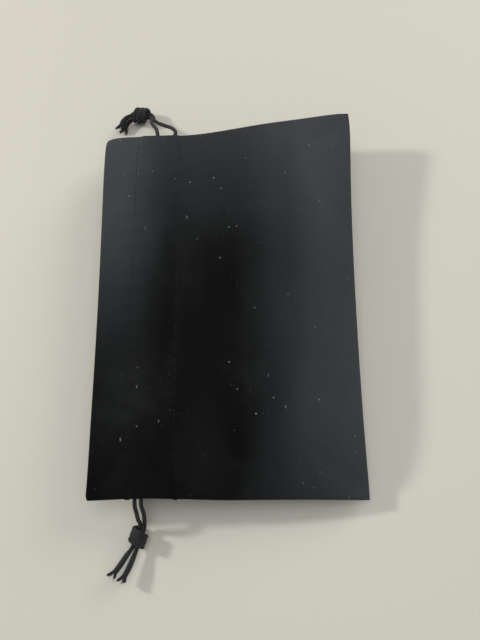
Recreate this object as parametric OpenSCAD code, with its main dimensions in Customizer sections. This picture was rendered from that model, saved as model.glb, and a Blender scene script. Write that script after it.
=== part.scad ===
// Drawstring gift pouch lying on its back panel.
// Two velvet panels are sewn together along three edges. At the mouth each panel is
// turned in to make a heading and a drawstring channel. Two looped cords run through
// both channels, and each leaves through a slit in its own side seam to a knot.
// X runs from the mouth (-X) to the closed end (+X), Y across the mouth, and Z up.
// Left is -Y and right is +Y. The front panel is on top and the back panel lies down.

/* [Pouch] */
// Width across the mouth, side seam to side seam
pouch_w = 150; // [140:1:160]
// Depth from the mouth edge to the closed end
pouch_d = 104; // [98:1:112]
// Height of the filled body above the table
fill_h = 24; // [22:0.5:28]
// Thickness of the velvet
velvet_t = 0.8; // [0.6:0.1:0.9]
// Height of the side seams above the table at the mouth
seam_h = 13; // [12:0.5:14]
// Height of the closed end's seam above the table at its middle
end_seam_h = 12; // [11:0.5:13]
// How far the closed end's seam climbs from its middle to the right corner
end_seam_tilt = 7; // [0:0.5:7]
// How far each lip bows out from the seam level at the middle of the mouth
lip_bow = 5.3; // [5.1:0.1:5.8]

/* [Drawstring channel] */
// Distance from the mouth edge to the channel's stitching on the mouth side
heading = 16; // [15:0.5:16]
// Width of the channel between its two rows of stitching
channel_w = 18; // [18:0.5:19]
// Clear height inside the channel
channel_h = 2.25; // [2.2:0.05:2.4]

/* [Cord] */
// Diameter of the cord
cord_d = 1.6; // [1.4:0.1:1.7]
// Diameter of the knots
knot_d = 8; // [7:0.5:8.5]

/* [Stitching] */
// Diameter of the sewing thread
thread_d = 0.4; // [0.3:0.05:0.4]
// Width of the overlocked seam allowance inside the pouch
allowance_w = 5; // [4:0.5:6]

/* [Hidden] */

velvet = [0.09, 0.09, 0.1];
thread = [0.03, 0.03, 0.03];
cord_black = [0.07, 0.07, 0.075];
left = -1;
right = 1;

// Gap kept between the two layers of a turned hem, and half the gap between the
// two panels along their sewn edges
layer_gap = 0.15;
edge_gap = 0.3;
// The hem's ends stop short of the side seams, which leaves room for the cord's bend
hem_inset = 5.5;
hem_v = 1 - hem_inset / (pouch_w / 2);
// Radius of the fold at the mouth edge, to the outside of the velvet
fold_r = velvet_t + layer_gap / 2;
// How far the outside of a slit is held open, and how much of the channel's height
// shows as a low ridge outside
slit_open = 1.6;
channel_puff = 0.6;
// How far the mouth and the closed end bow inwards at their middles, how much more the
// closed end does so on the right, how far the heading falls back between its corners,
// and how far the right and left edges draw in beside the channel
mouth_bow = 1.1;
end_bow = 1.3;
end_skew = 0.4;
lip_back = 1.75;
right_draw = 1.8;
left_draw = 0.8;
// How far the two right corners are rounded off
mouth_corner = 1.3;
end_corner = 1;
// Positions along the depth, from 0 at the mouth to 1 at the closed end
run_d = pouch_d - fold_r;
row_mouth = (heading - fold_r) / run_d;
row_inner = (heading + channel_w - fold_r) / run_d;
channel_u = (row_mouth + row_inner) / 2;
ramp = 0.02;
hem_end = row_inner + 0.03;
// Where the seam allowances start and stop along the sides
side_start = row_inner + 0.04;
side_stop = 0.8;

// A smooth step from 0 at a to 1 at b, and a smooth hump of half width w about c
function ease(a, b, x) = let (s = max(0, min(1, (x - a) / (b - a)))) s * s * (3 - 2 * s);
function hump(c, w, x) = 1 - ease(0, w, abs(x - c));
function blend(a, b, s) = a + (b - a) * s;

// Plan of the pouch: u runs along the depth and v across the width, from -1 to 1
function rounding(u, v) = v < 0 ? 0
    : pow(abs(2 * u - 1) * v, 12) * (u < 0.5 ? mouth_corner : end_corner);
function draw_in(u, v) = v > 0 ? right_draw * v * v * hump(0.36, 0.36, u)
    : -left_draw * v * v * hump(0.22, 0.3, u);
function plan_x(u, v) = fold_r - pouch_d / 2 + u * run_d
    + (1 - v * v) * (mouth_bow * pow(1 - u, 3) - end_bow * (1 + end_skew * v) * pow(u, 3))
    + (1 - pow(v, 8)) * lip_back * (1 - ease(0, row_mouth, u))
    - sign(u - 0.5) * rounding(u, v);
function plan_y(u, v) = v * pouch_w / 2 - draw_in(u, v) - rounding(u, v);

// Height of the surface in which the two panels are sewn together
function seam_z(u, v) = seam_h + pow(u, 2.5) * (end_seam_h + end_seam_tilt * v - seam_h);
// Share of the fullness that is left near the closed end
function end_full(u) = 1 - pow(max(0, 2 * u - 1), 5);
// Share of the channel's opening: 1 between its rows of stitching and 0 outside them
function channel_share(u) = ease(row_mouth, row_mouth + ramp, u)
    * (1 - ease(row_inner - ramp, row_inner, u));
// Height of the clear space between the layers of the hem
function layer_room(u) = layer_gap + (channel_h - layer_gap) * channel_share(u);
// How far the panels' edges stand off the seam surface
function edge_off(u, v) = edge_gap + slit_open * channel_share(u) * pow(abs(v), 10);
function puff(u, v) = channel_puff * (1 - pow(v, 8))
    * hump(channel_u, 0.5 * channel_w / run_d, u);

// Outside height of the front panel, and of the back panel, which lies flat at 0
function front_z(u, v) = let (s = seam_z(u, v), full = fill_h - s - velvet_t - edge_gap)
    s + velvet_t + edge_off(u, v) + puff(u, v)
    + blend(lip_bow, full, ease(0.3, 0.52, u)) * end_full(u)
    * (1 - pow(abs(v), blend(6, 4, ease(0.3, 0.52, u))));
function back_z(u, v) = let (s = seam_z(u, v), full = 1.35 * (s - velvet_t - edge_gap))
    max(0, s - velvet_t - edge_off(u, v) - puff(u, v)
    - blend(lip_bow, full, ease(0.12, 0.48, u)) * end_full(u)
    * (1 - pow(abs(v), blend(6, 5, ease(0.12, 0.48, u)))));
function panel_z(side, u, v) = side > 0 ? front_z(u, v) : back_z(u, v);
// A point of a panel, sunk below its outside by the given depth
function panel_point(side, u, v, sunk) =
    [plan_x(u, v), plan_y(u, v), panel_z(side, u, v) - side * sunk];

// Stations along a panel: the outer layer from the closed end to the mouth, the fold,
// and the hem from the mouth to its raw edge
body_steps = 12;
body_us = [for (i = [0:body_steps - 1])
    blend(row_inner, 1, pow(sin(90 * (1 - i / body_steps)), 1.4))];
channel_us = concat([row_mouth], [for (k = [0:4])
    blend(row_mouth + ramp, row_inner - ramp, k / 4)], [row_inner]);
heading_u = row_mouth / 2;
outer_us = concat(body_us, [for (k = [len(channel_us) - 1:-1:0]) channel_us[k]],
    [heading_u, 0]);
hem_us = concat([heading_u], channel_us, [hem_end]);
across_steps = 9;
across = [for (j = [-across_steps:across_steps]) sin(90 * j / across_steps)];

function outer_rows(side, sunk) = [for (u = outer_us) [for (v = across)
    panel_point(side, u, v, sunk)]];
function fold_rows(side, radius) = [for (k = [1:3]) let (a = 45 * k, inset = blend(1, hem_v, k / 4))
    [for (v = across) let (p = panel_point(side, 0, v * inset, fold_r))
    [p.x - radius * sin(a), p.y, p.z + side * radius * cos(a)]]];
function hem_rows(side, sunk) = concat(
    [[for (v = across) panel_point(side, 0, v * hem_v, sunk + layer_gap)]],
    [for (u = hem_us) [for (v = across)
    panel_point(side, u, v * hem_v, sunk + layer_room(u))]]);

// A thick sheet between two grids of points that have the same rows and columns
module thick_sheet(top, under, flip = false) {
    rows = len(top);
    cols = len(top[0]);
    base = rows * cols;
    function quad(a, b, c, d) = flip ? [[a, b, c], [a, c, d]] : [[a, c, b], [a, d, c]];
    faces = [
        for (i = [0:rows - 2]) for (j = [0:cols - 2])
            let (a = i * cols + j, b = a + 1, c = a + cols + 1, d = a + cols)
            each concat(quad(a, b, c, d), quad(base + a, base + d, base + c, base + b)),
        for (i = [0:rows - 2])
            let (a = i * cols, d = a + cols, b = a + cols - 1, c = b + cols)
            each concat(quad(a, d, base + d, base + a), quad(b, base + b, base + c, c)),
        for (j = [0:cols - 2])
            let (a = j, b = j + 1, c = base - cols + j, d = c + 1)
            each concat(quad(a, base + a, base + b, b), quad(c, d, base + d, base + c))
    ];
    polyhedron(points = concat([for (r = top) each r], [for (r = under) each r]),
        faces = faces, convexity = 6);
}

module panel(side) {
    color(velvet) thick_sheet(
        concat(outer_rows(side, 0), fold_rows(side, fold_r),
            hem_rows(side, 2 * velvet_t)),
        concat(outer_rows(side, velvet_t), fold_rows(side, layer_gap / 2),
            hem_rows(side, velvet_t)),
        flip = side < 0);
}

// A round cord swept along a route. The reference is a direction that the route
// never points along.
function unit(v) = v / norm(v);
function heading_at(route, i) = unit(route[min(i + 1, len(route) - 1)] - route[max(i - 1, 0)]);
module tube(route, d, sides = 8, reference = [0, 0, 1]) {
    rings = len(route);
    points = [for (i = [0:rings - 1])
        let (t = heading_at(route, i), a = unit(cross(t, reference)), b = cross(t, a))
        for (k = [0:sides - 1]) let (w = 360 * (k + 0.5) / sides)
        route[i] + d / 2 * (a * cos(w) + b * sin(w))];
    wall = [for (i = [0:rings - 2]) for (k = [0:sides - 1])
        let (a = i * sides + k, b = i * sides + (k + 1) % sides, c = b + sides, e = a + sides)
        each [[a, c, b], [a, e, c]]];
    first = [for (k = [0:sides - 1]) k];
    last = [for (k = [sides - 1:-1:0]) (rings - 1) * sides + k];
    polyhedron(points = points, faces = concat(wall, [first, last]), convexity = 6);
}

// A row of stitching that follows a panel's outside, half sunk in the pile
stitch_v = [for (j = [-8:8]) 0.94 * sin(90 * j / 8)];
module channel_stitching(side, u) {
    color(thread) tube([for (v = stitch_v) panel_point(side, u, v, 0)], thread_d, 4);
}

// Stitching in the seam between the panels, from u0 to u1 along one side
seam_v = 0.985;
module side_stitching(side, u0, u1, steps) {
    color(thread) tube([for (i = [0:steps]) let (u = blend(u0, u1, i / steps))
        [plan_x(u, side * seam_v), plan_y(u, side * seam_v), seam_z(u, side)]],
        thread_d, 4);
}

// The raw edges of both panels, overlocked together inside the pouch
allowance_t = 1;
allowance_in = 5.5;
module side_allowance(side) {
    steps = 6;
    us = [for (i = [0:steps]) blend(side_start, side_stop, i / steps)];
    function strip(off, dz) = [for (u = us)
        [plan_x(u, side), side * (pouch_w / 2 - off), seam_z(u, side) + dz]];
    color(velvet) thick_sheet(
        [for (i = [0:steps]) [strip(allowance_in, allowance_t / 2)[i],
            strip(allowance_in + allowance_w, allowance_t / 2)[i]]],
        [for (i = [0:steps]) [strip(allowance_in, -allowance_t / 2)[i],
            strip(allowance_in + allowance_w, -allowance_t / 2)[i]]],
        flip = side < 0);
}

module slit_tack(side, u) {
    tack = [1.4, 0.5, 1.6];
    clear = 0.3;
    color(thread) translate([plan_x(u, side) - tack.x / 2,
        plan_y(u, side) + (side > 0 ? clear : -clear - tack.y), seam_h - tack.z / 2])
        cube(tack);
}

// The cord inside the pouch: in through its own slit along the front channel, round
// the bend at the far slit and back along the back channel
left_front_x = -33.2;
left_back_x = -30.8;
right_front_x = -28.5;
right_back_x = -21.4;
loop_v = [0.985, 0.94, 0.86, 0.7, 0.45, 0.15, -0.15, -0.45, -0.7, -0.86, -0.93];
function depth_u(x) = (x + pouch_d / 2 - fold_r) / run_d;
function channel_z(side, x, v) = let (u = depth_u(x))
    panel_z(side, u, v + 2 * draw_in(u, v) / pouch_w) - side * (velvet_t + channel_h / 2);
function run_point(side, knot_side, x, v) = let (at_slit = ease(0.945, 0.985, v))
    [x, knot_side * v * pouch_w / 2, blend(channel_z(side, x, knot_side * v), seam_h, at_slit)];
// The bend: how far each of its points lies inside the seam, and its share of the way
// from the front run to the back run
bend_steps = [[3.3, 0.2], [2.2, 0.5], [3.3, 0.8]];
module cord_loop(knot_side, front_x, back_x) {
    far_y = -knot_side * pouch_w / 2;
    front = [for (v = loop_v) run_point(1, knot_side, front_x, v)];
    back = [for (i = [len(loop_v) - 1:-1:0]) run_point(-1, knot_side, back_x, loop_v[i])];
    bend = [for (b = bend_steps) let (p = blend(front[len(loop_v) - 1], back[0], b[1]))
        [p.x, far_y + knot_side * b[0], p.z]];
    color(cord_black) tube(concat(front, bend, back), cord_d, reference = [1, 0, 0]);
}

// Free ends: each strand's route from its slit to the knot, then the tail from the knot
left_knot_at = [-33.9, -88.6, 3.7];
right_knot_at = [-39, 91.7, 3.7];
left_front_route = [[-33.2, -77, 12.6], [-32.9, -79.5, 11], [-33, -82.2, 8.2], [-33.2, -85.3, 5]];
left_back_route = [[-30.8, -77, 12.2], [-30.5, -79.5, 10], [-30.9, -82.2, 6.9], [-31.9, -85.6, 3.8]];
right_front_route = [[-29, 77, 12.6], [-30.3, 80.2, 10.9], [-32.7, 84.4, 8], [-36.8, 89.2, 5.1]];
right_back_route = [[-21.6, 76.4, 12.2], [-23.6, 79.2, 10.8], [-27.2, 82.6, 8.8], [-31.7, 86.6, 6],
    [-35.8, 90.6, 3.5]];
left_front_tail = [[-35.3, -91.3, 4], [-37.6, -94.5, 4.6], [-39.8, -98, 5.3], [-42, -101, 5.9]];
left_back_tail = [[-33.9, -92.2, 3.2], [-35.2, -95.6, 3.7], [-36.8, -99, 4.3], [-38.6, -102.6, 4.9]];
right_front_tail = [[-42.4, 92.4, 4.2], [-45.2, 91.5, 4], [-47.2, 89.7, 3.5], [-48.4, 87.4, 3.1]];
right_back_tail = [[-42.2, 90.7, 2.7], [-44.6, 90, 2.2], [-46.1, 88.7, 1.8], [-47, 86.6, 1.4]];

// Where a run leaves the slit, which is where its strand starts
function slit_point(side, knot_side, x) = run_point(side, knot_side, x, loop_v[0]);
module free_cord(route) {
    color(cord_black) tube(route, cord_d);
}
module knot(at) {
    steps = 8;
    outline = [for (i = [0:steps]) let (a = 180 * i / steps - 90)
        [knot_d / 2 * cos(a), knot_d * 0.45 * sin(a)]];
    color(cord_black) translate(at) rotate_extrude($fn = 32) polygon(outline);
}

module front_panel() panel(1);
module back_panel() panel(-1);
module front_channel_stitching_mouth_side() channel_stitching(1, row_mouth);
module front_channel_stitching_inner_side() channel_stitching(1, row_inner);
module back_channel_stitching_mouth_side() channel_stitching(-1, row_mouth);
module back_channel_stitching_inner_side() channel_stitching(-1, row_inner);

// The closed end's allowance and stitching run across the width inside the end seam
end_u_in = 0.93;
end_v = 0.8;
module closed_end_seam_allowance() {
    steps = 8;
    vs = [for (j = [0:steps]) blend(-end_v, end_v, j / steps)];
    function strip(u, dz) = [for (v = vs)
        [plan_x(u, v), plan_y(u, v), seam_z(end_u_in, v) + dz]];
    out_u = end_u_in;
    in_u = end_u_in - allowance_w / run_d;
    color(velvet) thick_sheet([strip(out_u, allowance_t / 2), strip(in_u, allowance_t / 2)],
        [strip(out_u, -allowance_t / 2), strip(in_u, -allowance_t / 2)]);
}
module closed_end_seam_stitching() {
    stitch_u = 0.99;
    color(thread) tube([for (j = [-8:8]) let (v = 0.96 * j / 8)
        [plan_x(stitch_u, v), plan_y(stitch_u, v), seam_z(stitch_u, v)]], thread_d, 4);
}

module left_seam_allowance() side_allowance(left);
module left_seam_stitching() side_stitching(left, side_start, 0.97, 10);
module left_heading_stitching() side_stitching(left, 0.02, row_mouth - 0.01, 3);
module left_slit_tack_mouth_side() slit_tack(left, row_mouth);
module left_slit_tack_inner_side() slit_tack(left, row_inner);
module right_seam_allowance() side_allowance(right);
module right_seam_stitching() side_stitching(right, side_start, 0.97, 10);
module right_heading_stitching() side_stitching(right, 0.02, row_mouth - 0.01, 3);
module right_slit_tack_mouth_side() slit_tack(right, row_mouth);
module right_slit_tack_inner_side() slit_tack(right, row_inner);

module left_cord_loop() cord_loop(left, left_front_x, left_back_x);
module left_strand_front()
    free_cord(concat([slit_point(1, left, left_front_x)], left_front_route));
module left_strand_back()
    free_cord(concat([slit_point(-1, left, left_back_x)], left_back_route));
module left_knot() knot(left_knot_at);
module left_tail_front() free_cord(left_front_tail);
module left_tail_back() free_cord(left_back_tail);
module right_cord_loop() cord_loop(right, right_front_x, right_back_x);
module right_strand_front()
    free_cord(concat([slit_point(1, right, right_front_x)], right_front_route));
module right_strand_back()
    free_cord(concat([slit_point(-1, right, right_back_x)], right_back_route));
module right_knot() knot(right_knot_at);
module right_tail_front() free_cord(right_front_tail);
module right_tail_back() free_cord(right_back_tail);

front_panel();
back_panel();
front_channel_stitching_mouth_side();
front_channel_stitching_inner_side();
back_channel_stitching_mouth_side();
back_channel_stitching_inner_side();
closed_end_seam_allowance();
closed_end_seam_stitching();
left_seam_allowance();
left_seam_stitching();
left_heading_stitching();
left_slit_tack_mouth_side();
left_slit_tack_inner_side();
right_seam_allowance();
right_seam_stitching();
right_heading_stitching();
right_slit_tack_mouth_side();
right_slit_tack_inner_side();
left_cord_loop();
left_strand_front();
left_strand_back();
left_knot();
left_tail_front();
left_tail_back();
right_cord_loop();
right_strand_front();
right_strand_back();
right_knot();
right_tail_front();
right_tail_back();
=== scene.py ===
"""The looks of a black velvet drawstring pouch that lies on its back panel.

X runs from the mouth (-X) to the closed end (+X), Y across the mouth, and Z up. Left is -Y.
"""

import math
import random
import bmesh
import bpy
import numpy as np
from mathutils import Euler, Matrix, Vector


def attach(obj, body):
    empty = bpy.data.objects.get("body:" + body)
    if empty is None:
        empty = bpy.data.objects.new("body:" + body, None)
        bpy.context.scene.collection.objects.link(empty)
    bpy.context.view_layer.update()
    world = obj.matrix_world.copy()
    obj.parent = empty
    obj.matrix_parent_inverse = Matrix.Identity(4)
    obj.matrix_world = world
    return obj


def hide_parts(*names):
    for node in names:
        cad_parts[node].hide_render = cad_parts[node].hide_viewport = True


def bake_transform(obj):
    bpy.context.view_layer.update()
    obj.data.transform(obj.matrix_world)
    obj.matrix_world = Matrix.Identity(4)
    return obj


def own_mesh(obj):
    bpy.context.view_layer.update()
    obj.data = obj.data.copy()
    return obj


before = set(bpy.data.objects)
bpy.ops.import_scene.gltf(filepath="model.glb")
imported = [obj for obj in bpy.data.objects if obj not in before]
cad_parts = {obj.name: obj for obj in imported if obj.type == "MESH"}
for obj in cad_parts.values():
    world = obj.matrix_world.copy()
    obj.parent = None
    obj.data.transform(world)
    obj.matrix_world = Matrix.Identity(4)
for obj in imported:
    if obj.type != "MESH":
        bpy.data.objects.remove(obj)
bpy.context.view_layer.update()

MM = 0.001
SIDES = {"left": -1, "right": 1}
FACES = {"front": 1, "back": -1}

# Sizes of the pouch, in metres
POUCH_W = 150 * MM
POUCH_D = 104 * MM
FILL_H = 24 * MM
VELVET_T = 0.8 * MM
SEAM_H = 13 * MM
END_SEAM_H = 12 * MM
END_SEAM_TILT = 7 * MM
LIP_BOW = 5.3 * MM
HEADING = 16 * MM
CHANNEL_W = 18 * MM
CHANNEL_H = 2.25 * MM
CORD_D = 1.6 * MM
THREAD_D = 0.4 * MM
ALLOWANCE_W = 5 * MM
ALLOWANCE_IN = 5.5 * MM
LAYER_GAP = 0.15 * MM
EDGE_GAP = 0.3 * MM
HEM_IN = 5.5 * MM
HEM_V = 1 - HEM_IN / (POUCH_W / 2)
FOLD_R = VELVET_T + LAYER_GAP / 2
SLIT_OPEN = 0.8 * MM
CHANNEL_PUFF = 0.6 * MM
MOUTH_BOW = 1.1 * MM
END_BOW = 1.3 * MM
END_SKEW = 0.4
LIP_BACK = 1.75 * MM
RIGHT_DRAW = 1.8 * MM
LEFT_DRAW = 0.8 * MM
MOUTH_CORNER = 1.3 * MM
END_CORNER = 1 * MM

# Positions along the depth, from 0 at the mouth to 1 at the closed end
RUN_D = POUCH_D - FOLD_R
ROW_MOUTH = (HEADING - FOLD_R) / RUN_D
ROW_INNER = (HEADING + CHANNEL_W - FOLD_R) / RUN_D
CHANNEL_U = (ROW_MOUTH + ROW_INNER) / 2
RAMP = 0.02
HEM_END = ROW_INNER + 0.03
SIDE_START = ROW_INNER + 0.04
SIDE_STOP = 0.8
SEAM_V = 0.985


# ---- the shape of the pouch ----


def ease(a, b, x):
    share = np.clip((x - a) / (b - a), 0, 1)
    return share * share * (3 - 2 * share)


def hump(centre, half_width, x):
    return 1 - ease(0, half_width, np.abs(x - centre))


def mixed(a, b, share):
    return a + (b - a) * share


def rounding(u, v):
    corner = np.where(u < 0.5, MOUTH_CORNER, END_CORNER)
    return np.where(v < 0, 0, np.abs((2 * u - 1) * v) ** 12 * corner)


def draw_in(u, v):
    right = RIGHT_DRAW * v**2 * hump(0.36, 0.36, u)
    left = -LEFT_DRAW * v**2 * hump(0.22, 0.3, u)
    return np.where(v > 0, right, left)


def plan(u, v):
    """Where a point of either panel lies over the table; u runs along the depth and v across."""
    bow = (1 - v**2) * (MOUTH_BOW * (1 - u) ** 3 - END_BOW * (1 + END_SKEW * v) * u**3)
    bow = bow + (1 - v**8) * LIP_BACK * (1 - ease(0, ROW_MOUTH, u))
    corner = rounding(u, v)
    x = FOLD_R - POUCH_D / 2 + u * RUN_D + bow - np.sign(u - 0.5) * corner
    return x, v * POUCH_W / 2 - draw_in(u, v) - corner


def seam_height(u, v):
    return SEAM_H + u**2.5 * (END_SEAM_H + END_SEAM_TILT * v - SEAM_H)


def channel_share(u):
    return ease(ROW_MOUTH, ROW_MOUTH + RAMP, u) * (1 - ease(ROW_INNER - RAMP, ROW_INNER, u))


def layer_room(u):
    return LAYER_GAP + (CHANNEL_H - LAYER_GAP) * channel_share(u)


def plain_height(face, u, v):
    """Height of a panel's pile side, before its creases."""
    seam = seam_height(u, v)
    fullness = 1 - np.maximum(0, 2 * u - 1) ** 5
    edge = EDGE_GAP + SLIT_OPEN * channel_share(u) * np.abs(v) ** 10
    puff = CHANNEL_PUFF * (1 - v**8) * hump(CHANNEL_U, 0.5 * CHANNEL_W / RUN_D, u)
    if face > 0:
        body = ease(0.3, 0.52, u)
        bulge = mixed(LIP_BOW, FILL_H - seam - VELVET_T - EDGE_GAP, body)
        return seam + VELVET_T + edge + puff + bulge * fullness * (1 - np.abs(v) ** mixed(6, 4, body))
    body = ease(0.12, 0.48, u)
    bulge = mixed(LIP_BOW, 1.35 * (seam - VELVET_T - EDGE_GAP), body)
    low = seam - VELVET_T - edge - puff - bulge * fullness * (1 - np.abs(v) ** mixed(6, 5, body))
    return np.maximum(0, low)


def creases(face, u, v):
    """Puckers beside the stitching and soft dents in the body, outwards from the pouch."""
    x, y = plan(u, v)
    wander = 2.2 * np.sin(y / (17 * MM) + 1.3 * face) + 1.1 * np.sin(y / (7.3 * MM) + 2.0)
    rows = hump(ROW_MOUTH, 0.09, u) + hump(ROW_INNER, 0.1, u)
    across = 0.12 * MM * rows * np.sin(y / (1.15 * MM) + wander)
    sway = 1.9 * np.sin(x / (11 * MM)) + face
    beside = ease(0.86, 0.97, np.abs(v)) * (1 - ease(0.985, 1, np.abs(v)))
    along = 0.22 * MM * beside * np.sin(x / (0.95 * MM) + sway) * (1 - channel_share(u))
    stitched = sum(np.exp(-(((u - row) * RUN_D / (0.6 * MM)) ** 2)) for row in (ROW_MOUTH, ROW_INNER))
    groove = -0.16 * MM * stitched * (1 - np.abs(v) ** 20)
    corners = 0
    for u0, v0 in ((1, -1), (1, 1), (0, -1)):
        du, dv = (u - u0) * RUN_D, (v - v0) * POUCH_W / 2
        inwards = np.abs(du) + np.abs(dv)
        off_line = (np.abs(du) - np.abs(dv)) / (5 * MM)
        fold = np.exp(-(off_line**2)) * ease(0, 9 * MM, inwards) * (1 - ease(16 * MM, 46 * MM, inwards))
        corners = corners - 0.7 * MM * fold
    ends = (1 - np.abs(v) ** 24) * (1 - np.clip(u, 0, 1) ** 40)
    return (across + along + groove + corners) * ends


def height(face, u, v):
    z = plain_height(face, u, v)
    if face > 0:
        return z + creases(face, u, v)
    clear_of_table = ease(0.2 * MM, 3 * MM, z)
    return np.maximum(0, z - creases(face, u, v) * clear_of_table)


# ---- making meshes ----


def placed(mesh_or_curve, name):
    made = bpy.data.objects.new(name, mesh_or_curve)
    bpy.context.scene.collection.objects.link(made)
    return made


def finished(bm, name):
    mesh = bpy.data.meshes.new(name)
    bm.to_mesh(mesh)
    bm.free()
    for face in mesh.polygons:
        face.use_smooth = True
    return placed(mesh, name)


def evaluated_mesh(piece):
    bpy.context.view_layer.update()
    view = bpy.context.evaluated_depsgraph_get()
    return bpy.data.meshes.new_from_object(piece.evaluated_get(view), depsgraph=view)


def modified(piece, **modifiers):
    """The piece with its modifiers applied. Each is given as kind=settings."""
    for kind, settings in modifiers.items():
        modifier = piece.modifiers.new(kind, kind)
        for key, value in settings.items():
            setattr(modifier, key, value)
    mesh = evaluated_mesh(piece)
    piece.modifiers.clear()
    piece.data = mesh
    return piece


def line(name, routes, thickness, sides=8):
    """A curve with one spline for each route. A route's point is a place, or a place and a share
    of the thickness."""
    curve = bpy.data.curves.new(name, "CURVE")
    curve.dimensions = "3D"
    curve.bevel_depth = thickness / 2
    curve.bevel_resolution = sides // 2 - 2
    curve.resolution_u = 5
    curve.use_fill_caps = True
    for route in routes:
        points = [p if len(p) == 2 else (p, 1) for p in route]
        bends = curve.splines.new("BEZIER").bezier_points
        bends.add(len(points) - 1)
        for bend, (place, share) in zip(bends, points):
            bend.co = place
            bend.radius = share
            bend.handle_left_type = bend.handle_right_type = "AUTO"
    return placed(curve, name)


def swept(name, routes, thickness, sides=8):
    """The same as a mesh."""
    curve = line(name + "_line", routes, thickness, sides)
    mesh = evaluated_mesh(curve)
    bpy.data.objects.remove(curve)
    for face in mesh.polygons:
        face.use_smooth = True
    return placed(mesh, name)


def joined(name, pieces):
    """One mesh of several, each with its own finish."""
    with bpy.context.temp_override(active_object=pieces[0], selected_editable_objects=pieces):
        bpy.ops.object.join()
    pieces[0].name = name
    return pieces[0]


def halves(whole, names):
    """Cuts a piece at the middle into a left and a right half."""
    made = {}
    for side, sign in SIDES.items():
        bm = bmesh.new()
        bm.from_mesh(whole.data)
        everything = bm.verts[:] + bm.edges[:] + bm.faces[:]
        bmesh.ops.bisect_plane(
            bm, geom=everything, dist=1e-7, plane_co=(0, 0, 0), plane_no=(0, -sign, 0), clear_outer=True
        )
        half = finished(bm, names.format(side=side))
        for material in whole.data.materials:
            half.data.materials.append(material)
        made[side] = half
    bpy.data.objects.remove(whole)
    return made


# ---- finishes ----

WEAVE_PITCH = 0.5 * MM
# How many yarns of each set go round the cord, and how far apart they lie along it
BRAID_YARNS = 4
BRAID_PITCH = 1.5 * MM


class Level:
    """A number that varies over a surface. Sums with it add Math nodes."""

    def __init__(self, finish, socket):
        self.finish = finish
        self.socket = socket

    def _math(self, operation, *values):
        return self.finish.level("ShaderNodeMath", "Value", {"operation": operation}, dict(enumerate(values)))

    def __add__(self, other):
        return self._math("ADD", self, other)

    def __sub__(self, other):
        return self._math("SUBTRACT", self, other)

    def __mul__(self, other):
        return self._math("MULTIPLY", self, other)

    def __rsub__(self, other):
        return self._math("SUBTRACT", other, self)

    def __lt__(self, other):
        return self._math("LESS_THAN", self, other)

    def sine(self):
        return self._math("SINE", self)

    def limited(self):
        return self.finish.level("ShaderNodeClamp", "Result", {}, {"Value": self})

    def eased(self):
        """From 0 to 1 with soft ends."""
        share = self.limited()
        return share * share * (3 - share * 2)

    __radd__ = __add__
    __rmul__ = __mul__


class Finish:
    """A material. Constants are set on the shader's own sockets."""

    def __init__(self, name, **constants):
        self.material = bpy.data.materials.new(name)
        self.material.use_nodes = True
        self.nodes = self.material.node_tree.nodes
        self.links = self.material.node_tree.links
        self.shader = self.nodes["Principled BSDF"]
        for key, value in constants.items():
            self.shader.inputs[key.replace("_", " ")].default_value = value
        self.place = self.node("ShaderNodeTexCoord").outputs["Object"]

    def node(self, kind, settings=None, inputs=None):
        made = self.nodes.new(kind)
        for key, value in (settings or {}).items():
            setattr(made, key, value)
        for key, value in (inputs or {}).items():
            self.feed(made.inputs[key], value)
        return made

    def feed(self, socket, value):
        if isinstance(value, Level):
            value = value.socket
        if isinstance(value, bpy.types.NodeSocket):
            self.links.new(value, socket)
        else:
            socket.default_value = value

    def level(self, kind, output, settings=None, inputs=None):
        return Level(self, self.node(kind, settings, inputs).outputs[output])

    def noise(self, scale, detail=2, place=None, roughness=0.5):
        values = {"Vector": place or self.place, "Scale": scale, "Detail": detail, "Roughness": roughness}
        return self.level("ShaderNodeTexNoise", "Fac", {}, values)

    def turned(self, turn=(0, 0, 0), scale=(1, 1, 1)):
        values = {"Vector": self.place, "Rotation": turn, "Scale": scale}
        return self.node("ShaderNodeMapping", {}, values).outputs["Vector"]

    def x_and_y(self, place=None):
        parts = self.node("ShaderNodeSeparateXYZ", {}, {"Vector": place or self.place})
        return [Level(self, parts.outputs[axis]) for axis in "XY"]

    def tint(self, share, first, second):
        """One colour turning into another; either may be another tint."""
        made = self.node("ShaderNodeMix", {"data_type": "RGBA"}, {"Factor": share})
        for socket, colour in zip([s for s in made.inputs if s.type == "RGBA"], (first, second)):
            self.feed(socket, (*colour, 1) if isinstance(colour, tuple) else colour)
        return [s for s in made.outputs if s.type == "RGBA"][0]

    def done(self, colour, roughness, bump, depth, strength):
        values = {"Height": bump, "Distance": depth, "Strength": strength}
        bumped = self.node("ShaderNodeBump", {}, values)
        self.feed(self.shader.inputs["Base Color"], colour)
        self.feed(self.shader.inputs["Roughness"], roughness)
        self.feed(self.shader.inputs["Normal"], bumped.outputs["Normal"])
        return self.material


def specks(finish, spacing, size, share, stretch=(1, 1, 1), turn=(0, 0, 0)):
    """Scattered bits of lint: 1 on each bit and 0 elsewhere."""
    place = finish.turned(turn=turn, scale=stretch)
    cells = finish.node("ShaderNodeTexVoronoi", {}, {"Vector": place, "Scale": 1 / spacing})
    pick = finish.level("ShaderNodeSeparateColor", "Red", {}, {"Color": cells.outputs["Color"]})
    return (Level(finish, cells.outputs["Distance"]) < size / spacing) * (pick < share)


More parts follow.
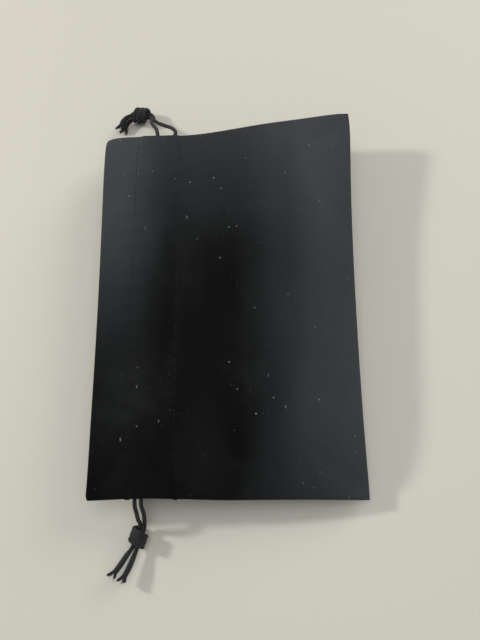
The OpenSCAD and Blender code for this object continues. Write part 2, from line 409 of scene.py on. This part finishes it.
def velvet_finish():
    """Black cut pile: dark seen straight on, with a cool bloom where it is seen along the pile. Its colour
    also holds a painted sheen, lighter towards the closed end, the right side and the mouth, with dust and
    lint over it.
    """
    finish = Finish(
        "black_velvet",
        Specular_IOR_Level=0.08,
        Sheen_Weight=0.35,
        Sheen_Roughness=0.3,
        Sheen_Tint=(0.82, 0.87, 0.95, 1),
    )
    x, y = finish.x_and_y()
    cloudy = finish.noise(22, 3) - 0.5
    streaky = finish.noise(26, 3, finish.turned(scale=(1, 0.3, 1))) - 0.5
    # Painted sheen: the base colour is made lighter towards the closed end, the right side and the mouth
    toward_end = ((x + streaky * 0.03) * 22 - 0.1).eased()
    toward_right = ((y + cloudy * 0.05) * 12 - 0.05).eased()
    toward_mouth = ((x + streaky * 0.03) * -32 - 0.65).eased() * ((y + cloudy * 0.03) * 12 + 0.5).eased()
    painted_sheen = (toward_end * 0.95 + toward_right * 0.5 + toward_mouth * 0.9).limited()
    stroked = finish.noise(60, 4, finish.turned(turn=(0, 0, 0.6), scale=(1, 0.35, 1)))
    rubbed = ((finish.noise(38, 4, roughness=0.62) - 0.54) * 5).limited()
    tips = finish.noise(1500, 2)
    gathered = ((finish.noise(30, 2) - 0.42) * 4).limited()
    lint = specks(finish, 3.2 * MM, 0.42 * MM, 0.13) + specks(
        finish, 2.4 * MM, 0.34 * MM, 0.05, stretch=(1, 0.42, 1), turn=(0.3, 0, 0.9)
    )
    dust = specks(finish, 1.1 * MM, 0.2 * MM, 0.05)
    # The pile's colour: the painted sheen, then random streaks, darker pile tips, dust and lint
    painted_sheen_and_lint = finish.tint(painted_sheen, (0.0022, 0.0023, 0.0024), (0.048, 0.052, 0.0555))
    painted_sheen_and_lint = finish.tint((stroked * 0.6 + rubbed * 0.16 - 0.24).limited(), painted_sheen_and_lint, (0.03, 0.032, 0.034))
    painted_sheen_and_lint = finish.tint(tips * 0.35, painted_sheen_and_lint, (0.0015, 0.0015, 0.0016))
    painted_sheen_and_lint = finish.tint(dust.limited() * gathered * 0.4, painted_sheen_and_lint, (0.1, 0.108, 0.112))
    painted_sheen_and_lint = finish.tint(lint.limited() * gathered * 0.6, painted_sheen_and_lint, (0.18, 0.19, 0.195))
    pile = finish.noise(2400, 3) + finish.noise(420, 2) * 0.8
    return finish.done(painted_sheen_and_lint, 0.86 + tips * 0.12, pile, 0.00022, 0.55)


def backing_finish():
    """The wrong side of the velvet: a fine flat weave."""
    finish = Finish("velvet_backing", Specular_IOR_Level=0.25)
    x, y = finish.x_and_y()
    per_thread = math.tau / WEAVE_PITCH
    weave = (x * per_thread).sine() * (y * per_thread).sine()
    shade = finish.tint(weave * 0.3 + finish.noise(300) * 0.6, (0.008, 0.008, 0.009), (0.022, 0.022, 0.025))
    return finish.done(shade, 0.8 + weave * 0.05, weave, 0.0001, 0.6)


def cord_finish(name, length):
    """A round braid: two sets of yarns that cross, laid along the cord."""
    finish = Finish(name, Specular_IOR_Level=0.3, Sheen_Weight=0.1, Sheen_Roughness=0.4)
    turn, run = finish.x_and_y(finish.node("ShaderNodeTexCoord").outputs["UV"])
    round_it = turn * (math.tau * BRAID_YARNS)
    along_it = run * (math.tau * length / BRAID_PITCH)
    one_way = (round_it + along_it).sine()
    other_way = (round_it - along_it).sine()
    braid = one_way * other_way
    fluff = finish.noise(3200, 3)
    shade = finish.tint((braid * 0.35 + 0.5).limited(), (0.004, 0.004, 0.0042), (0.019, 0.0195, 0.021))
    shade = finish.tint(fluff * 0.5, shade, (0.012, 0.012, 0.013))
    return finish.done(shade, 0.72 - braid * 0.08, braid + fluff * 0.5, 0.00014, 0.8)


def thread_finish():
    finish = Finish("sewing_thread", Specular_IOR_Level=0.12)
    ply = (finish.noise(1800, 2) - 0.5) * 2
    shade = finish.tint((ply + 0.5).limited(), (0.0016, 0.0016, 0.0018), (0.005, 0.005, 0.0057))
    return finish.done(shade, 0.55 + ply * 0.1, ply, 0.00008, 0.6)


def table_finish():
    finish = Finish("pale_table", Specular_IOR_Level=0.25)
    cloudy = finish.noise(2.5, 3)
    grain = finish.noise(500, 3)
    shade = finish.tint(cloudy, (0.50, 0.478, 0.42), (0.57, 0.545, 0.478))
    return finish.done(shade, 0.5 + grain * 0.1, grain, 0.0001, 0.15)


def dress(piece, *materials):
    piece.data.materials.clear()
    for material in materials:
        piece.data.materials.append(material)
    return piece


# ---- the camera ----

camera = placed(bpy.data.cameras.new("camera"), "camera")
camera.data.sensor_width = 36
camera.data.lens = 36.9
camera.data.clip_start = 0.01
camera.location = (36.6 * MM, -75.2 * MM, 256.2 * MM)
camera.rotation_euler = Euler([math.radians(a) for a in (15.3, 7.2, -0.35)])
bpy.context.scene.camera = camera

# ---- the cords ----

# Each strand's way from its slit to the knot, and its tail from the knot to the tip, in millimetres
FREE_CORDS = {
    ("left", "front"): (
        [(-33.2, -77, 12.6), (-32.9, -79.5, 11), (-33, -82, 8)],
        [(-36.7, -93.3, 4.2), (-37.6, -94.5, 4.6), (-39.8, -98, 5.3), (-42, -101, 5.9)],
    ),
    ("left", "back"): (
        [(-30.8, -77, 12.2), (-30.5, -79.5, 10), (-30.9, -82, 6.9)],
        [(-34.9, -93.9, 3.5), (-35.6, -95.8, 3.7), (-36.8, -99, 4.3), (-38.6, -102.6, 4.9)],
    ),
    ("right", "front"): (
        [(-29, 77, 12.6), (-30.3, 80.2, 10.9), (-32.7, 84.4, 8)],
        [(-43.4, 91.9, 4.1), (-45.2, 91.1, 4), (-47.2, 89.7, 3.5), (-48.4, 87.4, 3.1)],
    ),
    ("right", "back"): (
        [(-21.1, 76.6, 12.2), (-23, 79.5, 10.8), (-27.2, 82.6, 8.8), (-31.7, 86.6, 6)],
        [(-43.1, 91, 2.7), (-44.6, 90.1, 2.2), (-46.1, 88.7, 1.8), (-47, 86.6, 1.4)],
    ),
}
KNOT_AT = {"left": Vector((-33.9, -88.6, 3.7)) * MM, "right": Vector((-39, 91.7, 3.7)) * MM}
# The way through each knot, from the strands to the tails
KNOT_RUN = {"left": Vector((-0.34, -0.94, -0.02)), "right": Vector((-0.985, 0.17, -0.02))}
# How the tail swells towards its tip, as shares of the cord's thickness
TAIL_SWELL = (1, 1.25, 1.35, 1.3)
# How far round its core a strand goes in the knot, and from where, in degrees
WRAP_START = -110
WRAP_TURN = -660
WRAP_STEPS = 20
# How far the wraps reach along the knot from its middle
WRAP_REACH = 2.3 * MM
# Where each run of a loop lies along the pouch, in millimetres, and its stations across it
LOOP_X = {
    ("left", "front"): -33.2,
    ("left", "back"): -30.8,
    ("right", "front"): -28.5,
    ("right", "back"): -21.4,
}
LOOP_V = (0.985, 0.94, 0.86, 0.7, 0.45, 0.15, -0.15, -0.45, -0.7, -0.86, -0.93)
# The bend at the far slit: how far in from the seam, and the share of the way to the back run
LOOP_BEND = ((3.3, 0.2), (2.2, 0.5), (3.3, 0.8))
# The length of cord that each braid pattern is set out for
FREE_BRAID_RUN = 64 * MM
LOOP_BRAID_RUN = 305 * MM
LOOSE_FIBRES = 14


def knot_way(side, face):
    """A strand's way through the knot: in along the core, back round everything in almost two
    wraps, then under them and out along the core. Both strands do this side by side."""
    run = KNOT_RUN[side].normalized()
    across = run.cross(Vector((0, 0, 1))).normalized()
    up = across.cross(run)
    lean_out = 0.5 * CORD_D * FACES[face]
    lean_in = -lean_out * SIDES[side]
    core, wrap = 0.4 * CORD_D, 1.66 * CORD_D
    places = [(-4.2 * MM, lean_in, 0), (-1.5 * MM, lean_in, -core), (1.4 * MM, lean_in, -core)]
    for step in range(WRAP_STEPS + 1):
        share = step / WRAP_STEPS
        angle = math.radians(WRAP_START + WRAP_TURN * share)
        radius = wrap * (0.75 if step in (0, WRAP_STEPS) else 1)
        along = mixed(WRAP_REACH, -WRAP_REACH, share) + 0.95 * lean_out
        places.append((along, radius * math.cos(angle), radius * math.sin(angle)))
    places += [(-1.2 * MM, lean_out, core), (1.2 * MM, lean_out, core), (3.6 * MM, lean_out, 0)]
    return [KNOT_AT[side] + run * a + across * b + up * c for a, b, c in places]


def slit_point(side, face):
    return Vector((LOOP_X[side, face] * MM, SIDES[side] * LOOP_V[0] * POUCH_W / 2, SEAM_H))


def channel_point(side, face, v):
    """The cord in the channel: v is 1 at its own slit and -1 at the far one."""
    x = LOOP_X[side, face] * MM
    across = SIDES[side] * v
    u = (x + POUCH_D / 2 - FOLD_R) / RUN_D
    depth = VELVET_T + CHANNEL_H / 2
    z = plain_height(FACES[face], u, across + 2 * draw_in(u, across) / POUCH_W) - FACES[face] * depth
    return Vector((x, across * POUCH_W / 2, mixed(z, SEAM_H, ease(0.945, 0.985, v))))


def free_cord(side, face):
    strand, tail = ([Vector(p) * MM for p in part] for part in FREE_CORDS[side, face])
    route = [slit_point(side, face), *strand, *knot_way(side, face)]
    route += zip(tail, TAIL_SWELL)
    return line(f"{side}_cord_{face}_end", [route], CORD_D, sides=12)


def frayed_tip(side, face, seed):
    """The cut end of a cord, come apart into two short yarns and a few loose fibres."""
    draws = random.Random(seed)
    end, before = (Vector(p) * MM for p in reversed(FREE_CORDS[side, face][1][-2:]))
    ahead = (end - before).normalized()
    aside = ahead.cross(Vector((0, 0, 1))).normalized()
    over = aside.cross(ahead)
    yarns, fibres = [], []
    for way in (-1, 1):
        lean = aside * (way * 0.34) + over * draws.uniform(-0.1, 0.2)
        start = end - ahead * 0.8 * MM + aside * (way * 0.35 * MM)
        tip = start + (ahead + lean * 1.3) * (2.5 + 0.4 * way) * MM
        yarns.append([(start, 1), (start + (ahead + lean) * 1.3 * MM, 1.05), (tip, 0.75)])
    for _ in range(LOOSE_FIBRES):
        lean = aside * draws.uniform(-0.6, 0.6) + over * draws.uniform(-0.1, 0.5)
        reach = draws.uniform(1.4, 2.5) * MM
        start = end + lean * 0.6 * MM
        curl = Vector([draws.uniform(-0.25, 0.25) for _ in range(3)]) * MM
        middle = start + (ahead + lean) * reach * 0.6 + curl
        fibres.append([(start, 1), (middle, 0.9), (start + (ahead + lean * 1.2) * reach, 0.4)])
    name = f"{side}_cord_{face}_frayed_tip"
    parts = [swept(name + "_yarns", yarns, 1.15 * MM), swept(name + "_fibres", fibres, 0.14 * MM, 4)]
    return joined(name, parts)


def cord_loop(side):
    front = [channel_point(side, "front", v) for v in LOOP_V]
    back = [channel_point(side, "back", v) for v in reversed(LOOP_V)]
    bend = []
    for inset, share in LOOP_BEND:
        place = front[-1].lerp(back[0], share)
        place.y = -SIDES[side] * (POUCH_W / 2 - inset * MM)
        bend.append(place)
    return swept(f"{side}_cord_loop_in_channel", [front + bend + back], CORD_D, sides=12)


braid_free = cord_finish("braided_cord", FREE_BRAID_RUN)
braid_loop = cord_finish("braided_cord_in_channel", LOOP_BRAID_RUN)
for number, (side, face) in enumerate(FREE_CORDS):
    cord = dress(free_cord(side, face), braid_free)
    tip = dress(frayed_tip(side, face, 11 + number), braid_free)
    knot = [f"{side}_knot"] if face == "front" else []
    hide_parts(f"{side}_strand_{face}", f"{side}_tail_{face}", *knot)
    for piece in (cord, tip):
        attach(piece, f"{side}_cord")
for side in SIDES:
    loop = dress(cord_loop(side), braid_loop)
    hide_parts(f"{side}_cord_loop")
    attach(loop, f"{side}_cord")
    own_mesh(loop)


# ---- the velvet panels ----

COLUMNS = 128
# Past this share of the way out, a point is on a sewn edge
ON_SEAM = 0.999
# Rows of the cloth from the closed end to the mouth, as (position, rows up to it)
BODY_ROWS = (
    (ROW_INNER + RAMP, 60),
    (ROW_INNER - RAMP, 10),
    (ROW_MOUTH + RAMP, 14),
    (ROW_MOUTH - RAMP, 10),
    (0, 12),
)
FOLD_ROWS = 8
HEM_ROWS = 26
ROLL_STEPS = 6


def cloth_stations():
    """Stations down the cloth: 0 to 1 from the closed end to the mouth, 1 to 2 round the fold,
    and 2 to 3 along the hem to its raw edge."""
    stations, u = [0.0], 1.0
    for stop, rows in BODY_ROWS:
        stations += [1 - mixed(u, stop, (k + 1) / rows) for k in range(rows)]
        u = stop
    stations += [1 + (k + 1) / FOLD_ROWS for k in range(FOLD_ROWS)]
    return np.array(stations + [2 + (k + 1) / HEM_ROWS for k in range(HEM_ROWS)])


def cloth_place(face, station, v):
    """Where a point of a panel's pile side lies."""
    turn = np.clip(station - 1, 0, 1) * math.pi
    hemmed = station > 2
    u = np.where(hemmed, (station - 2) * HEM_END, np.clip(1 - station, 0, 1))
    inset = v * np.where(hemmed, HEM_V, mixed(1, HEM_V, turn / math.pi))
    x, y = plan(u, inset)
    sunk = np.where(hemmed, 2 * VELVET_T + layer_room(u), FOLD_R * (1 - np.cos(turn)))
    return x - np.where(hemmed, 0, FOLD_R * np.sin(turn)), y, height(face, u, inset) - face * sunk


def edge_frame(face, u, v):
    """At a sewn edge: which way is out, and how steeply the cloth comes down to it."""
    out = Vector((float(u > ON_SEAM), float(np.sign(v)) if abs(v) > ON_SEAM else 0.0, 0))
    step = 0.7 * MM
    u_in = u - out.x * step / RUN_D
    v_in = v - out.y * step / (POUCH_W / 2)
    drop = (plain_height(face, u_in, v_in) - plain_height(face, u, v)) * face
    return out, math.atan2(max(0.0, float(drop)), step * out.length)


def roll_edges(bm, face, sewn):
    """Turns the sewn edges in towards the seam with a small round roll."""
    ring = {vertex: (vertex.co.copy(), *edge_frame(face, u, v)) for vertex, (u, v) in sewn.items()}
    edges = [e for e in bm.edges if e.is_boundary and all(vertex in ring for vertex in e.verts)]
    for step in range(1, ROLL_STEPS + 2):
        made = bmesh.ops.extrude_edge_only(bm, edges=edges)["geom"]
        edges = [g for g in made if isinstance(g, bmesh.types.BMEdge) and g.is_boundary]
        fresh = [g for g in made if isinstance(g, bmesh.types.BMVert)]
        next_ring = {}
        for vertex in fresh:
            source = next(e.other_vert(vertex) for e in vertex.link_edges if e.other_vert(vertex) in ring)
            at, out, start = ring[source]
            radius = (VELVET_T + EDGE_GAP - 0.02 * MM) / (1 + math.cos(start))
            angle = mixed(start, math.pi, min(step, ROLL_STEPS) / ROLL_STEPS)
            beyond = radius * (math.sin(angle) - math.sin(start)) - 1.4 * MM * (step > ROLL_STEPS)
            down = radius * (math.cos(start) - math.cos(angle))
            vertex.co = at + out * beyond - Vector((0, 0, face * down))
            next_ring[vertex] = (at, out, start)
        edges = [e for e in edges if all(vertex in next_ring for vertex in e.verts)]
        ring = next_ring


def panel(face_name):
    face = FACES[face_name]
    stations = cloth_stations()
    rows = len(stations) - 1
    bm = bmesh.new()
    bmesh.ops.create_grid(bm, x_segments=rows, y_segments=COLUMNS, size=1)
    sewn = {}
    for vertex in bm.verts:
        station = stations[round((vertex.co.x + 1) / 2 * rows)]
        share = round(vertex.co.y * COLUMNS / 2) / (COLUMNS / 2)
        v = share * (1.12 - 0.12 * share * share)
        vertex.co = [float(c) for c in cloth_place(face, station, v)]
        if station <= 1 and (abs(v) > ON_SEAM or station == 0):
            sewn[vertex] = (1 - station, v)
    roll_edges(bm, face, sewn)
    bmesh.ops.recalc_face_normals(bm, faces=bm.faces)
    top = max(bm.faces, key=lambda f: face * f.calc_center_median().z)
    if top.normal.z * face < 0:
        bmesh.ops.reverse_faces(bm, faces=bm.faces)
    return finished(bm, f"{face_name}_panel_cloth")


velvet = velvet_finish()
backing = backing_finish()
thread = thread_finish()


def follow_sides(pieces, node):
    """Each half stands for the whole node: the node's own part is hidden and the half's placement is baked
    into its mesh.
    """
    for side, piece in pieces.items():
        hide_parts(node)
        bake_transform(piece)


CLOTH = {"thickness": VELVET_T * 0.94, "offset": -1, "material_offset": 1, "material_offset_rim": 1}
panels = {}
for face_name in FACES:
    whole = dress(panel(face_name), velvet, backing)
    panels[face_name] = halves(whole, face_name + "_panel_{side}_half")
    for half in panels[face_name].values():
        modified(half, SOLIDIFY=CLOTH)
        half.data.set_sharp_from_angle(angle=math.radians(60))
    follow_sides(panels[face_name], f"{face_name}_panel")


# ---- stitching ----

STITCH = 2.5 * MM
STITCH_GAP = 0.7 * MM
# A stitch's own shape: the share of its length, and how far out of the cloth it lies, in mm
STITCH_SHAPE = ((0, -0.45), (0.12, -0.2), (0.5, -0.1), (0.88, -0.2), (1, -0.45))
# Where the rows and the strips lie, as positions along the depth (U) and across (V)
CHANNEL_ROW_V = 0.94
END_ROW_U = 0.99
END_ROW_V = 0.96
SIDE_ROW_STOP = 0.97
HEADING_ROW_START = 0.02
HEADING_ROW_STOP = ROW_MOUTH - 0.01
END_STRIP_U = 0.93
END_STRIP_V = 0.8
OVERLOCK_STEP = 1.6 * MM
OVERLOCK_THREAD_D = 0.28 * MM
TACK_STITCHES = 6
TACK_THREAD_D = 0.22 * MM
TACK_STEP = 0.26 * MM


def stitched_row(name, place, length):
    """A row of lockstitches along place(share), which gives a point and the way out of the cloth."""
    count = round(length / (STITCH + STITCH_GAP))
    routes = []
    for number in range(count):
        first, last = number / count, (number + STITCH / (STITCH + STITCH_GAP)) / count
        route = []
        for share, lift in STITCH_SHAPE:
            at, out = place(mixed(first, last, share))
            route.append((at + out * lift * MM, 0.9))
        routes.append(route)
    return swept(name, routes, THREAD_D, sides=6)


def surface_point(face, u, v):
    x, y = plan(u, v)
    return Vector((float(x), float(y), float(height(face, u, v))))


def seam_point(u, v):
    x, y = plan(u, v)
    return Vector((float(x), float(y), float(seam_height(u, v))))


for face_name, face in FACES.items():
    for row_name, row in (("mouth_side", ROW_MOUTH), ("inner_side", ROW_INNER)):
        node = f"{face_name}_channel_stitching_{row_name}"
        whole = stitched_row(
            node + "_row",
            lambda share: (
                surface_point(face, row, mixed(-CHANNEL_ROW_V, CHANNEL_ROW_V, share)),
                Vector((0, 0, face)),
            ),
            CHANNEL_ROW_V * POUCH_W,
        )
        follow_sides(halves(dress(whole, thread), node + "_{side}_half"), node)

whole = stitched_row(
    "closed_end_seam_stitching_row",
    lambda share: (seam_point(END_ROW_U, mixed(-END_ROW_V, END_ROW_V, share)), Vector((1, 0, 0))),
    END_ROW_V * POUCH_W,
)
end_rows = halves(dress(whole, thread), "closed_end_seam_stitching_{side}_half")
follow_sides(end_rows, "closed_end_seam_stitching")


def overlocked_strip(name, place, length):
    """A strip of raw edges with overlock thread over it. place(along, across) is a point of it."""
    steps = round(length / OVERLOCK_STEP)
    bm = bmesh.new()
    bmesh.ops.create_grid(bm, x_segments=steps, y_segments=4, size=0.5)
    for vertex in bm.verts:
        wave = 0.12 * MM * math.sin(vertex.co.x * length / (1.4 * MM)) * (vertex.co.y + 0.5)
        vertex.co = place(vertex.co.x + 0.5, vertex.co.y + 0.5) + Vector((0, 0, wave))
    strip = modified(finished(bm, name), SOLIDIFY={"thickness": 0.9 * MM, "offset": 0})
    loops = []
    lift = Vector((0, 0, 0.52 * MM))
    for number in range(steps):
        here, there = (number + 0.2) / steps, (number + 0.8) / steps
        raw = place(here, 1.03)
        over = [place(here, 0.35) + lift, place(here, 0.97) + lift]
        loops.append([*over, raw - lift * 0.2, place(there, 0.9) - lift])
    threads = swept(name + "_overlock", loops, OVERLOCK_THREAD_D, sides=4)
    dress(strip, backing)
    dress(threads, thread)
    return joined(name, [strip, threads])


def side_strip(sign):
    def place(along, across):
        u = mixed(SIDE_START, SIDE_STOP, along)
        x, _ = plan(u, float(sign))
        from_middle = POUCH_W / 2 - ALLOWANCE_IN - across * ALLOWANCE_W
        return Vector((float(x), sign * from_middle, float(seam_height(u, sign))))

    return place


def end_strip(along, across):
    v = mixed(-END_STRIP_V, END_STRIP_V, along)
    x, y = plan(END_STRIP_U - across * ALLOWANCE_W / RUN_D, v)
    return Vector((float(x), float(y), float(seam_height(END_STRIP_U, v))))


whole = overlocked_strip("closed_end_allowance", end_strip, END_STRIP_V * POUCH_W)
end_strips = halves(whole, "closed_end_seam_allowance_{side}_half")
follow_sides(end_strips, "closed_end_seam_allowance")


def bar_tack(name, u, sign):
    """A close row of short stitches over the seam at the end of a slit."""
    x, y = (float(c) for c in plan(u, float(sign)))
    routes = []
    for number in range(TACK_STITCHES):
        at = x + (number - (TACK_STITCHES - 1) / 2) * TACK_STEP
        out = y + sign * 0.42 * MM
        routes.append([
            Vector((at, out - sign * 0.5 * MM, SEAM_H + 0.95 * MM)),
            Vector((at, out, SEAM_H + 0.6 * MM)),
            Vector((at + 0.1 * MM, out, SEAM_H - 0.6 * MM)),
            Vector((at + 0.1 * MM, out - sign * 0.5 * MM, SEAM_H - 0.95 * MM)),
        ])
    return swept(name, routes, TACK_THREAD_D, sides=6)


for side, sign in SIDES.items():
    place = side_strip(sign)
    length = (SIDE_STOP - SIDE_START) * RUN_D
    strip = overlocked_strip(f"{side}_allowance", place, length)
    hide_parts(f"{side}_seam_allowance")
    below = stitched_row(
        f"{side}_seam_row",
        lambda share: (
            seam_point(mixed(SIDE_START, SIDE_ROW_STOP, share), sign * SEAM_V),
            Vector((0, sign, 0)),
        ),
        (SIDE_ROW_STOP - SIDE_START) * RUN_D,
    )
    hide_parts(f"{side}_seam_stitching")
    above = stitched_row(
        f"{side}_heading_row",
        lambda share: (
            seam_point(mixed(HEADING_ROW_START, HEADING_ROW_STOP, share), sign * SEAM_V),
            Vector((0, sign, 0)),
        ),
        (HEADING_ROW_STOP - HEADING_ROW_START) * RUN_D,
    )
    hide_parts(f"{side}_heading_stitching")
    tacks = []
    for row_name, row in (("mouth_side", ROW_MOUTH), ("inner_side", ROW_INNER)):
        tack = bar_tack(f"{side}_{row_name}_bar_tack", row, sign)
        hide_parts(f"{side}_slit_tack_{row_name}")
        tacks.append(tack)
    for piece in (below, above, *tacks):
        dress(piece, thread)
    for piece in (strip, below, above, *tacks):
        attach(piece, f"{side}_side")


# ---- the table and the lights ----

bm = bmesh.new()
bmesh.ops.create_grid(bm, x_segments=8, y_segments=8, size=1.5)
table = dress(finished(bm, "table"), table_finish())


def softbox(name, place, size, power, colour=(1, 1, 1)):
    light = bpy.data.lights.new(name, "AREA")
    light.shape = "DISK"
    light.size = size
    light.energy = power
    light.color = colour
    made = placed(light, name)
    made.location = place
    made.rotation_euler = (-Vector(place)).to_track_quat("-Z", "Y").to_euler()


softbox("window", (-0.93, 0.32, 0.58), 0.13, 8, (1, 0.985, 0.96))
softbox("ceiling", (0.15, 0.1, 1.1), 1.0, 5.6, (1, 0.99, 0.96))
softbox("far_wall", (0.7, 0.6, 0.45), 0.6, 5.5, (1, 1, 1))
world = bpy.data.worlds.new("room")
world.use_nodes = True
world.node_tree.nodes["Background"].inputs["Color"].default_value = (0.9, 0.95, 1, 1)
world.node_tree.nodes["Background"].inputs["Strength"].default_value = 0.3
bpy.context.scene.world = world
bpy.context.scene.view_settings.view_transform = "Standard"
